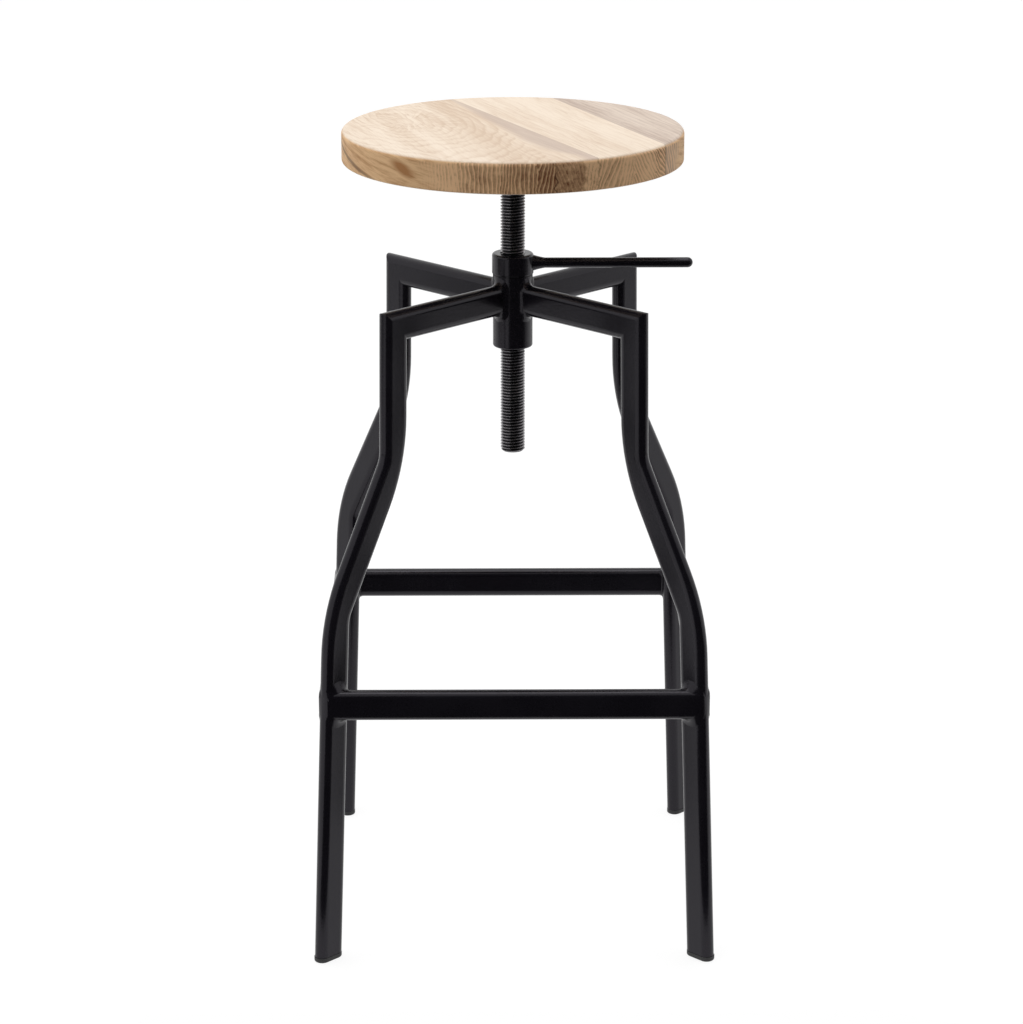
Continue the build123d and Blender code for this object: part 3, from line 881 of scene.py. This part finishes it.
class STOOL_OT_stage(bpy.types.Operator):
    """Set up the floor, the soft light and the camera."""
    bl_idname = "stool.stage"
    bl_label = "Stage"

    def execute(self, context):
        stage = context.scene.stool_stage
        self.floor()
        self.studio(context.scene, stage)
        self.softbox(context.scene, stage.top)
        self.camera(context.scene)
        context.scene.view_settings.view_transform = "Standard"
        return {"FINISHED"}

    def floor(self):
        """Lay the white sheet, which ends where black metal mirrors dark ground."""
        clear_selection()
        bpy.ops.mesh.primitive_plane_add(size=SHEET, location=(0, 0, 0))
        floor = bpy.context.object
        floor.name = "floor"
        bpy.ops.object.mode_set(mode="EDIT")
        pick(floor, lambda co: co.y < 0)
        bpy.ops.transform.translate(value=(0, SHEET / 2 + SHEET_FRONT, 0))
        self.cut((SHEET_CORNER, 0, 0), (1, 0, 0))
        pick(floor, lambda co: co.y < 0 and co.x < SHEET_CORNER + 0.01)
        bpy.ops.mesh.extrude_region_move(TRANSFORM_OT_translate={"value": (0, -SHEET_REACH, 0)})
        pick(floor, lambda co: co.y < SHEET_FRONT - 1 and co.x > SHEET_CORNER - 0.01)
        bpy.ops.transform.translate(value=(-SHEET_SLANT, 0, 0))
        for place in (-SHEET_FAR, -SHEET_CORNER, -2 * SHEET_CORNER, SHEET_FAR):
            self.cut((place, 0, 0), (1, 0, 0))
        pick(floor, lambda co: abs(co.y - SHEET_FRONT) < 0.01 and abs(co.x) < 0.01 - SHEET_CORNER)
        bpy.ops.transform.translate(value=(0, SHEET_STEP, 0))
        self.cut((0, SHEET_BACK, 0), (0, 1, 0))
        bpy.ops.object.mode_set(mode="OBJECT")
        for face in floor.data.polygons:
            face.select = face.center.y < SHEET_BACK and abs(face.center.x) > SHEET_FAR
        bpy.ops.object.mode_set(mode="EDIT")
        bpy.ops.mesh.select_mode(type="FACE")
        bpy.ops.mesh.delete(type="FACE")
        bpy.ops.mesh.select_mode(type="VERT")
        bpy.ops.object.mode_set(mode="OBJECT")
        floor.data.materials.append(self.white_sheet())

    def cut(self, place, normal):
        """Cut all faces along a plane."""
        bpy.ops.mesh.select_all(action="SELECT")
        bpy.ops.mesh.bisect(plane_co=place, plane_no=normal)

    def white_sheet(self):
        """Material of the sheet, which shows nearly white to the camera and in mirrors and keeps a faint shadow."""
        g = Graph("floor_white")
        speck = g.noise(g.where.outputs["Object"], 3, 2)
        g.finish(base_color=g.blend(speck, (0.93, 0.93, 0.93), (0.95, 0.95, 0.95)), roughness=0.9)
        ray = g.node("ShaderNodeLightPath").outputs
        seen = g.math("MAXIMUM", ray["Is Camera Ray"], ray["Is Glossy Ray"])
        seen = g.math("MAXIMUM", seen, ray["Is Transmission Ray"])
        glow = g.node("ShaderNodeEmission")
        glow.inputs["Strength"].default_value = SHEET_GLOW
        mix = g.node("ShaderNodeMixShader")
        g.put(mix.inputs[0], g.times(seen, SHEET_WHITE))
        g.put(mix.inputs[1], g.surface.outputs["BSDF"])
        g.put(mix.inputs[2], glow.outputs[0])
        g.put(g.output.inputs["Surface"], mix.outputs[0])
        return g.material

    def studio(self, scene, stage):
        """Put pale walls all round, with a dark gap behind the camera that black metal shows in its front faces.

        Metal mirrors a white background, but not in the gap or on the ground beyond the sheet.
        """
        world = bpy.data.worlds.new("studio")
        scene.world = world
        world.use_nodes = True
        sky = Nodes(world.node_tree)
        ray = sky.node("ShaderNodeLightPath").outputs
        toward = sky.node("ShaderNodeTexCoord").outputs["Generated"]
        front = sky.node("ShaderNodeVectorMath")
        front.operation = "DOT_PRODUCT"
        sky.put(front.inputs[0], toward)
        front.inputs[1].default_value = Vector(GAP_TOWARD).normalized()
        clear = sky.step(front.outputs["Value"], *GAP_EDGE)
        lit = sky.between(clear, stage.gap, stage.walls)
        above = sky.step(sky.split(toward)[2], *GROUND_EDGE)
        mirror = sky.between(sky.step(sky.times(clear, above), 0, 1), stage.gap, 1.0)
        mirrored = sky.math("MAXIMUM", ray["Is Glossy Ray"], ray["Is Transmission Ray"])
        level = sky.between(mirrored, lit, mirror)
        level = sky.between(ray["Is Camera Ray"], level, 1.0)
        background = sky.tree.nodes["Background"]
        sky.put(background.inputs["Strength"], level)
        sky.put(background.inputs["Color"], (1, 1, 1))

    def softbox(self, scene, power):
        """Hang a square soft light over the stool."""
        data = bpy.data.lights.new("overhead", "AREA")
        data.size = SOFTBOX_SIZE
        data.energy = power
        lamp = bpy.data.objects.new("overhead", data)
        scene.collection.objects.link(lamp)
        lamp.location = SOFTBOX_AT
        aim = Vector(SOFTBOX_AIM) - Vector(SOFTBOX_AT)
        lamp.rotation_euler = aim.to_track_quat("-Z", "Y").to_euler()

    def camera(self, scene):
        """Set up the camera at the photograph's angle."""
        data = bpy.data.cameras.new("camera")
        camera = bpy.data.objects.new("camera", data)
        scene.collection.objects.link(camera)
        camera.location = CAMERA_AT
        camera.rotation_euler = (math.radians(90 - CAMERA_TILT), 0, -math.radians(CAMERA_TURN))
        data.sensor_fit = "HORIZONTAL"
        data.sensor_width = CAMERA_SENSOR
        data.lens = CAMERA_LENS
        scene.camera = camera


class STOOL_PT_looks(bpy.types.Panel):
    """Lists the settings and the steps in order."""
    bl_idname = "STOOL_PT_looks"
    bl_label = "Stool"
    bl_space_type = "VIEW_3D"
    bl_region_type = "UI"
    bl_category = "Stool"

    def draw(self, context):
        scene = context.scene
        for step in STEPS:
            self.layout.operator(step.bl_idname)
        for group in (scene.stool_wood, scene.stool_metal, scene.stool_sizes, scene.stool_stage):
            box = self.layout.box()
            for name in group.__annotations__:
                box.prop(group, name)


STEPS = (STOOL_OT_seat, STOOL_OT_frame, STOOL_OT_spindle, STOOL_OT_feet, STOOL_OT_screws, STOOL_OT_plate_weld,
         STOOL_OT_hub_welds, STOOL_OT_bar_welds, STOOL_OT_stage)
GROUPS = {
    "stool_wood": STOOL_PG_wood,
    "stool_metal": STOOL_PG_metal,
    "stool_sizes": STOOL_PG_sizes,
    "stool_stage": STOOL_PG_stage,
}


def register():
    """Make the settings, the steps and the panel known."""
    for group in GROUPS.values():
        bpy.utils.register_class(group)
    for step in STEPS:
        bpy.utils.register_class(step)
    bpy.utils.register_class(STOOL_PT_looks)
    for name, group in GROUPS.items():
        setattr(bpy.types.Scene, name, bpy.props.PointerProperty(type=group))


def unregister():
    """Take out what register added."""
    for name in GROUPS:
        delattr(bpy.types.Scene, name)
    bpy.utils.unregister_class(STOOL_PT_looks)
    for step in reversed(STEPS):
        bpy.utils.unregister_class(step)
    for group in GROUPS.values():
        bpy.utils.unregister_class(group)


def main():
    """Make the settings known, then run every step in order."""
    register()
    for step in STEPS:
        space, call = step.bl_idname.split(".")
        getattr(getattr(bpy.ops, space), call)()


if __name__ == "__main__":
    main()
